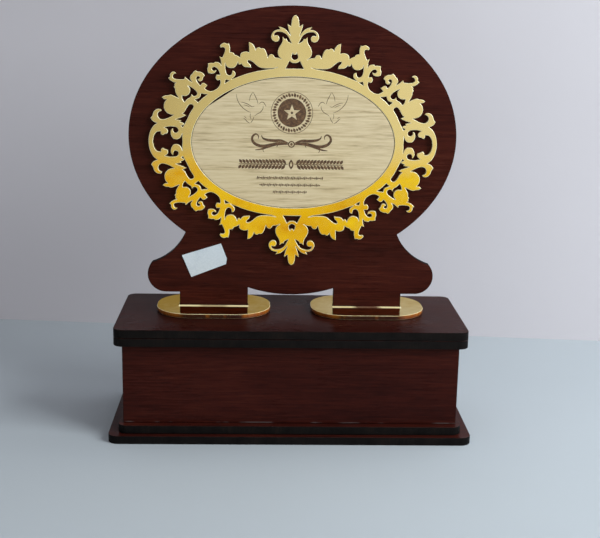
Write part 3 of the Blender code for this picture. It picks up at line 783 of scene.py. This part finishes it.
def foot_pads():
    """Mirror pads. Before each tab lies a painted light strip, pale and faintly glowing, for the frosted cut
    of the slot seen through the acrylic.
    """
    # drift=2.0 paints the pads' reflection lighter on the right pad than on the left.
    mirror = gold_mirror("pad_mirror", 0.07, deep=(0.68, 0.47, 0.14), pale=(1.0, 0.92, 0.66), drift=2.0,
                         edge_tint=(0.90, 0.72, 0.40, 1.0))
    materials = [mirror, pale_rim_and_highlight("pad_rim"),
                 # the pads' cut side carries a painted reflection of the tab
                 side_acrylic("amber_cut_side", 2, (0.66, 0.24, 0.02), (0.26, 0.055, 0.006), painted_tab_reflection),
                 painted_slot_light("painted_slot_light")]
    top = PAD_Z + ACRYLIC
    for name, side in (("left_foot_pad", -1), ("right_foot_pad", 1)):
        outline = rounded_rectangle(PAD_LENGTH, PAD_DEPTH, PAD_CORNER, (side * TAB_X, BOARD_Y))
        loops = [turned(outline, True), turned(tab_slot(side), False)]
        drawn = inset(loops, PAD_BREAK)
        bm = bmesh.new()
        ends = [cut_edge(bm, loop, inner, PAD_Z, top, PAD_BREAK, False) for loop, inner in zip(loops, drawn)]
        cap_faces(bm, [end[0] for end in ends], 0)
        slot = sorted(ends[1][1], key=lambda v: (v.co.y, v.co.x))
        front_left, front_right, back_left, back_right = slot
        glow_left, glow_right = (bm.verts.new((v.co.x, v.co.y - PAINTED_STRIP_DEPTH, top))
                                 for v in (front_left, front_right))
        hole = [glow_left, glow_right, front_right, back_right, back_left, front_left]
        cap_faces(bm, [ends[0][1], hole], 0)
        # the painted light strip before the tab
        bm.faces.new((glow_left, glow_right, front_right, front_left)).material_index = 3
        stands_for(mesh_object(name + "_cut", bm, materials), name)


def board():
    upright_board("backboard", [board_outline()], BOARD_FRONT, shift=(2.0, 0.0, 0.6))


def filigree():
    side = side_acrylic("filigree_cut_side", 1, (0.88, 0.74, 0.36), (0.52, 0.31, 0.06))
    materials = [gold_mirror("filigree_mirror"), pale_rim_and_highlight("filigree_rim"), side]
    obj = sheet("gold_frame_cut", filigree_outlines(), FACE_Y - ACRYLIC, FACE_Y, materials,
                upright=True, broken=RIM, depth=RIM_DEPTH)
    stands_for(obj, "gold_frame")


# ---------------------------------------------------------------- engraving, in millimetres

ENGRAVING_X = -1.2
SEAL = (ENGRAVING_X, 19.5)
DIVIDER_Z = -0.9
TITLE_Z = -13.6
DOVES = [(-35.8, 11.8, 1), (36.0, 12.3, -1)]                    # place, and 1 or -1 for mirrored
FINE_BORDERS = [(-22.4, 21.0), (-27.0, 19.2), (-31.6, 10.6)]    # height and half width
LEAVES_IN_WREATH, LEAVES_ON_BRANCH = 40, 14


def stroke(points, width, tip=0.14, step=0.45):
    """A drawn line as a closed outline, widest in the middle and fine at both ends."""
    run = [points[0]] + list(points) + [points[-1]]
    line = []
    for p0, p1, p2, p3 in zip(run, run[1:], run[2:], run[3:]):
        pieces = max(2, round(hypot(p2[0] - p1[0], p2[1] - p1[1]) / step))
        line += [spline_point(p0, p1, p2, p3, j / pieces) for j in range(pieces)]
    line = np.array(line + [points[-1]], float)
    way = np.gradient(line, axis=0)
    way /= np.linalg.norm(way, axis=1)[:, None].clip(1e-9)
    t = np.linspace(0, 1, len(line))
    half = tip / 2 + (width - tip) / 2 * np.sin(pi * t) ** 0.7
    side = np.stack([-way[:, 1], way[:, 0]], 1) * half[:, None]
    return [tuple(p) for p in np.vstack([line + side, (line - side)[::-1]])]


def leaf(centre, angle, length, width):
    """A pointed leaf shape."""
    half = [(t, width / 2 * sin(pi * (t + 0.5)) ** 0.9) for t in (-0.42, -0.3, -0.15, 0.0, 0.15, 0.3, 0.42)]
    outline = [(-0.5, 0.0)] + half + [(0.5, 0.0)] + [(t, -w) for t, w in half[::-1]]
    c, s = cos(angle), sin(angle)
    return [(centre[0] + t * length * c - w * s, centre[1] + t * length * s + w * c) for t, w in outline]


def moved(points, dx, dz, mirror):
    return [(mirror * x + dx, z + dz) for x, z in points]


DOVE = [
    ([(0.4, 19.0), (0.8, 16.2), (2.3, 13.0), (4.9, 10.1), (7.6, 8.3), (9.6, 7.6)], 0.42),
    ([(3.4, 13.9), (5.6, 13.6), (8.2, 12.5), (10.3, 11.2), (11.9, 11.6)], 0.40),
    ([(4.9, 12.3), (7.0, 11.9), (8.9, 10.9)], 0.32),
    ([(8.7, 14.8), (9.1, 17.3), (10.0, 19.2), (10.9, 20.5)], 0.36),
    ([(11.1, 20.3), (12.4, 17.8), (13.6, 15.2), (14.2, 12.9)], 0.40),
    ([(14.9, 13.1), (16.3, 14.2), (17.7, 13.9), (18.7, 12.6), (19.3, 11.4)], 0.42),
    ([(17.5, 11.9), (17.2, 9.9), (15.8, 7.9), (13.6, 6.6), (12.0, 5.4)], 0.40),
    ([(9.4, 6.9), (9.2, 4.9), (9.9, 3.2)], 0.32),
    ([(11.6, 4.8), (10.9, 2.9), (9.6, 1.0)], 0.38),
    ([(9.0, 0.7), (7.4, 1.7), (6.2, 3.0), (5.0, 3.9)], 0.44),
    ([(6.9, 3.7), (6.1, 4.6), (5.2, 5.0)], 0.32),
]

SCROLL = [
    ([(21.4, 3.4), (21.2, 5.4), (22.9, 6.6), (24.8, 5.2), (25.2, 2.9), (23.6, 0.6), (20.6, -0.8),
      (17.0, -1.0), (13.0, -0.1), (8.4, 1.0), (4.6, 1.0), (1.9, 0.5)], 1.95),
    ([(19.2, 6.0), (18.5, 4.2), (15.8, 3.0), (11.2, 2.5), (6.6, 2.6), (2.0, 1.1)], 1.9),
    ([(23.4, -3.6), (19.6, -3.1), (15.0, -1.5), (10.0, 0.0), (5.0, 0.3), (2.0, 0.2)], 1.5),
    ([(9.3, 0.2), (9.0, -0.9), (9.6, -1.6)], 0.5),
    ([(17.2, -2.0), (18.2, -3.7), (17.4, -4.9)], 0.42),
]


def star(radius, inner, centre):
    return [(centre[0] + (radius if i % 2 == 0 else inner) * sin(pi * i / 5),
             centre[1] + (radius if i % 2 == 0 else inner) * cos(pi * i / 5)) for i in range(10)]


def seal():
    """A wreath of leaves between two rules, round a burnt disc with a plain star left standing."""
    shapes = [(circle(13.45, SEAL, 96), True), (circle(13.12, SEAL, 96), False)]
    for i in range(LEAVES_IN_WREATH):
        a = 2 * pi * i / LEAVES_IN_WREATH
        centre = (SEAL[0] + 11.3 * cos(a), SEAL[1] + 11.3 * sin(a))
        length, width = (3.0, 1.6) if i % 2 else (2.0, 1.35)
        shapes.append((leaf(centre, a + radians(14), length, width), True))
    return shapes + [(circle(9.1, SEAL, 72), True), (star(5.4, 2.2, SEAL), False),
                     (circle(0.8, SEAL, 20), True)]


def title_border():
    """A bold laurel branch where an award carries its title."""
    shapes = [(leaf((ENGRAVING_X, TITLE_Z), radians(90), 6.4, 3.2), True)]
    shapes.append((leaf((ENGRAVING_X, TITLE_Z), radians(90), 3.4, 1.3), False))
    for mirror in (1, -1):
        stem = [(ENGRAVING_X + mirror * x, TITLE_Z) for x in (2.2, 10.0, 20.0, 33.6)]
        shapes.append((stroke(stem, 0.62, 0.3), True))
        for i in range(LEAVES_ON_BRANCH):
            for side in (1, -1):
                x = 3.6 + 2.15 * i + (0.5 if side < 0 else 0.0)
                size = 4.1 - 0.07 * i
                centre = (ENGRAVING_X + mirror * (x + 0.9), TITLE_Z + side * 1.75)
                angle = side * radians(52) if mirror > 0 else radians(180) - side * radians(52)
                shapes.append((leaf(centre, angle, size, 1.85), True))
    return shapes


def fine_border(z, half_width):
    """A fine border of upright and lying seeds where an award carries its wording."""
    shapes = []
    count = round(half_width / 0.95)
    for i in range(-count, count + 1):
        x = ENGRAVING_X - 0.6 + i * half_width / count
        if i % 4 == 0:
            shapes.append((leaf((x, z), 0.0, 1.1, 0.8), True))
        else:
            tall = 2.6 if i % 4 == 2 else 1.8
            shapes.append((leaf((x, z), radians(78), tall, 0.72), True))
    return shapes


def engraved_shapes():
    """Outlines in drawing order: each is burnt in, or left standing, over those before it."""
    shapes = seal()
    for points, width in DOVE:
        line = stroke(points, width)
        shapes += [(moved(line, ENGRAVING_X + dx, dz, mirror), True) for dx, dz, mirror in DOVES]
    for points, width in SCROLL:
        line = stroke(points, width)
        shapes += [(moved(line, ENGRAVING_X, DIVIDER_Z, mirror), True) for mirror in (1, -1)]
    boss = (ENGRAVING_X, DIVIDER_Z + 0.3)
    shapes += [(circle(2.2, boss, 32), True), (circle(1.45, boss, 28), False), (circle(0.85, boss, 20), True)]
    shapes += title_border()
    for z, half_width in FINE_BORDERS:
        shapes += fine_border(z, half_width)
    return shapes


def engraved_oval():
    """The light oval: one flat face with the engraving sunk into it."""
    semi_x, semi_z = RING_INNER_X - ENGRAVED_GAP, RING_INNER_Z - ENGRAVED_GAP
    outline = [p for i, p in enumerate(ellipse(semi_x, semi_z, RING_CENTRE_Z))
               if not FLAT_SPOT[0] < 2 * pi * i / OVAL_STEPS < FLAT_SPOT[1]]
    rim = turned(outline, True)
    inner = inset([rim], OVAL_BREAK)[0]
    board = [(x / MM, (z - RING_CENTRE_Z) / MM) for x, z in inner]
    points, polygons, burnt_in = [], [], []
    for loop, burnt in [(board, False)] + engraved_shapes():
        start = len(points)
        points += [Vector(p) for p in turned(loop, True)]
        polygons.append(list(range(start, len(points))))
        burnt_in.append(burnt)
    verts, _, faces, _, _, origins = delaunay_2d_cdt(points, [], polygons, 1, 1e-5)
    bm = bmesh.new()
    front, deep = FACE_Y - VENEER, FACE_Y - VENEER + ENGRAVING_DEPTH
    top, sunk = {}, {}

    def corner(store, index, depth):
        if index not in store:
            x, z = verts[index]
            store[index] = bm.verts.new((x * MM, depth, z * MM + RING_CENTRE_Z))
        return store[index]

    sides = {}
    for face, source in zip(faces, origins):
        if 0 not in source:
            continue
        burnt = burnt_in[max(source)]
        store, depth = (sunk, deep) if burnt else (top, front)
        made = bm.faces.new([corner(store, i, depth) for i in face])
        made.material_index = 3 if burnt else 0
        for a, b in zip(face, face[1:] + face[:1]):
            sides.setdefault(frozenset((a, b)), []).append(burnt)
    for pair, kinds in sides.items():
        if len(kinds) == 2 and kinds[0] != kinds[1]:
            a, b = pair
            wall = bm.faces.new((top[a], top[b], sunk[b], sunk[a]))
            wall.material_index = 3
    cap_faces(bm, [cut_edge(bm, rim, inner, front, FACE_Y, OVAL_BREAK, True)[1]], 0)
    materials = [oak_face("oak_laminate"), ARRIS, CHAR_UPRIGHT, burnt_oak("engraving")]
    obj = mesh_object("engraved_panel_cut", bm, materials)
    stands_for(obj, "engraved_panel")


def paper():
    """The label: thin paper whose top left and lower right corners lift a little off the board."""
    top_left, top_right, right, low_right, low_left = (Vector(c) * MM for c in LABEL_CORNERS)
    across, up = 26, 16         # cells
    grid = {}
    bm = bmesh.new()
    for i in range(across + 1):
        for j in range(up + 1):
            s, t = i / across, j / up
            edge = right.lerp(top_right, (t - 0.3) / 0.7) if t > 0.3 else low_right.lerp(right, t / 0.3)
            x, z = low_left.lerp(top_left, t).lerp(edge, s)
            lift = 0.45 * MM * t ** 4 * (1 - s) ** 5 + 0.35 * MM * (1 - t) ** 4 * s ** 5
            for layer in (0, 1):
                y = FACE_Y - lift - (PAPER if layer == 0 else 0.0)
                grid[layer, i, j] = bm.verts.new((x, y, z))
    for layer in (0, 1):
        for i in range(across):
            for j in range(up):
                cell = ((i, j), (i + 1, j), (i + 1, j + 1), (i, j + 1))
                bm.faces.new([grid[(layer,) + k] for k in cell]).smooth = True
    border = [(i, 0) for i in range(across)] + [(across, j) for j in range(up)]
    border += [(i, up) for i in range(across, 0, -1)] + [(0, j) for j in range(up, 0, -1)]
    strip(bm, [grid[(0,) + k] for k in border], [grid[(1,) + k] for k in border], 0, False)
    obj = mesh_object("paper_label_cut", bm, [label_paper("self_adhesive_paper")])
    stands_for(obj, "paper_label")


base()
foot_pads()
board()
filigree()
engraved_oval()
paper()


# ---------------------------------------------------------------- stage, light and camera

def stage_card(name, corners):
    mesh = bpy.data.meshes.new(name)
    mesh.from_pydata(corners, [], [(0, 1, 2, 3)])
    obj = bpy.data.objects.new(name, mesh)
    bpy.context.scene.collection.objects.link(obj)
    return obj


def stage_plane(name, corners, colour, roughness, one_sided=False):
    obj = stage_card(name, corners)
    f = Finish(name + "_paint", roughness=roughness, Specular_IOR_Level=0.0)
    cloud = f.noise(f.coordinates, scale=2.2, detail=3)
    f.colour(f.ramp(cloud, [(0.3, tuple(v * 0.96 for v in colour)), (0.7, tuple(v * 1.04 for v in colour))]))
    if one_sided:
        clear = f.add("ShaderNodeBsdfTransparent")
        mix = f.add("ShaderNodeMixShader")
        f.link(f.add("ShaderNodeNewGeometry").outputs["Backfacing"], mix.inputs["Fac"])
        f.link(f.shader.outputs["BSDF"], mix.inputs[1])
        f.link(clear.outputs["BSDF"], mix.inputs[2])
        f.link(mix.outputs["Shader"], f.tree.nodes["Material Output"].inputs["Surface"])
    obj.data.materials.append(f.material)


def area_light(name, position, target, size, power, colour, glossy=True):
    data = bpy.data.lights.new(name, "AREA")
    data.shape = "RECTANGLE"
    data.size, data.size_y = size
    data.energy = power
    data.color = colour
    obj = bpy.data.objects.new(name, data)
    obj.location = position
    obj.rotation_euler = (Vector(target) - Vector(position)).to_track_quat("-Z", "Y").to_euler()
    obj.visible_camera = False
    obj.visible_glossy = glossy
    bpy.context.scene.collection.objects.link(obj)


WALL_Y, WALL_TURN = 0.206, 0.096     # metres behind the origin, and metres nearer per metre of x
FLOOR_WIDTH = 40
stage_plane("floor", [(x, y, 0) for x, y in rectangle(FLOOR_WIDTH, FLOOR_WIDTH)], (0.515, 0.565, 0.60), 0.5)
stage_plane("wall", [(x, WALL_Y - WALL_TURN * x, z) for x, z in ((-4, 0), (4, 0), (4, 3), (-4, 3))],
            (0.66, 0.635, 0.665), 0.6, one_sided=True)

world = bpy.data.worlds.new("studio")
world.use_nodes = True
background = world.node_tree.nodes["Background"]
background.inputs["Color"].default_value = (0.86, 0.86, 0.90, 1.0)
background.inputs["Strength"].default_value = 0.36
bpy.context.scene.world = world

area_light("key", (0.95, -0.60, 0.72), (0.0, 0.1, 0.12), (0.7, 0.7), 15.2, (0.93, 0.98, 1.0))
area_light("side", (0.85, 0.06, 0.42), (0.0, 0.0, 0.08), (0.25, 0.5), 1.6, (0.93, 0.97, 1.0))
area_light("front", (0.0, -2.4, 0.9), (0.0, 0.0, 0.6), (3.6, 1.6), 5.0, (1.0, 1.0, 0.98), glossy=False)


def reflector(name, corners, stops, scale, mottle, slope):
    """A glowing card that only shows in glossy surfaces. It is brighter to the right, and mottled."""
    obj = stage_card(name, corners)
    f = Finish(name + "_glow")
    x, = f.axes("X")
    glow = f.add("ShaderNodeEmission")
    patch = f.noise(f.stretched(scale), detail=2, roughness=0.5)
    across = f.span(x, -0.55, 0.65)
    f.link(f.ramp(f.maths("MULTIPLY_ADD", patch, mottle, f.maths("MULTIPLY", across, slope)), stops),
           glow.inputs["Color"])
    f.link(glow.outputs["Emission"], f.tree.nodes["Material Output"].inputs["Surface"])
    obj.data.materials.append(f.material)
    for ray in ("camera", "diffuse", "transmission", "volume_scatter", "shadow"):
        setattr(obj, "visible_" + ray, False)


CARD_Z = 0.004              # just clear of the floor
CARDS_MEET_Y = -1.24
reflector("pale_card", [(-3, CARDS_MEET_Y, CARD_Z), (3, CARDS_MEET_Y, CARD_Z),
                        (3, -2.8, 1.6), (-3, -2.8, 1.6)],
          [(0.25, (0.40, 0.37, 0.28)), (0.50, (0.68, 0.70, 0.72)), (0.75, (0.90, 0.94, 1.0))],
          (0.8, 0.8, 0.8), 0.5, 0.5)
reflector("warm_card", [(-0.18, -0.40, CARD_Z), (0.20, -0.40, CARD_Z),
                        (0.42, CARDS_MEET_Y, CARD_Z), (-0.36, CARDS_MEET_Y, CARD_Z)],
          [(0.62, (0.58, 0.29, 0.03)), (0.70, (0.74, 0.52, 0.02)), (0.77, (0.86, 0.70, 0.015)),
           (0.88, (0.92, 0.82, 0.05))], (7, 12, 1), 1.3, 0.2)

SENSOR_WIDTH, LENS = 36.0, 65.6958      # millimetres
PITCH, YAW, ROLL = 0.237306, -0.0366029, -0.0193664
CAMERA_AT = (-19.821 * MM, -699.362 * MM, 272.876 * MM)

camera_data = bpy.data.cameras.new("camera")
camera_data.sensor_width = SENSOR_WIDTH
camera_data.lens = LENS
camera = bpy.data.objects.new("camera", camera_data)
bpy.context.scene.collection.objects.link(camera)
cp, sp, cy, sy, cr, sr = cos(PITCH), sin(PITCH), cos(YAW), sin(YAW), cos(ROLL), sin(ROLL)
turn = (Matrix(((cr, 0, -sr), (0, 1, 0), (sr, 0, cr))) @ Matrix(((1, 0, 0), (0, cp, -sp), (0, sp, cp)))
        @ Matrix(((cy, sy, 0), (-sy, cy, 0), (0, 0, 1))))
right, forward, up = turn
camera.matrix_world = Matrix.Translation(CAMERA_AT) @ Matrix((right, up, -forward)).transposed().to_4x4()
bpy.context.scene.camera = camera
bpy.context.scene.view_settings.view_transform = "Standard"
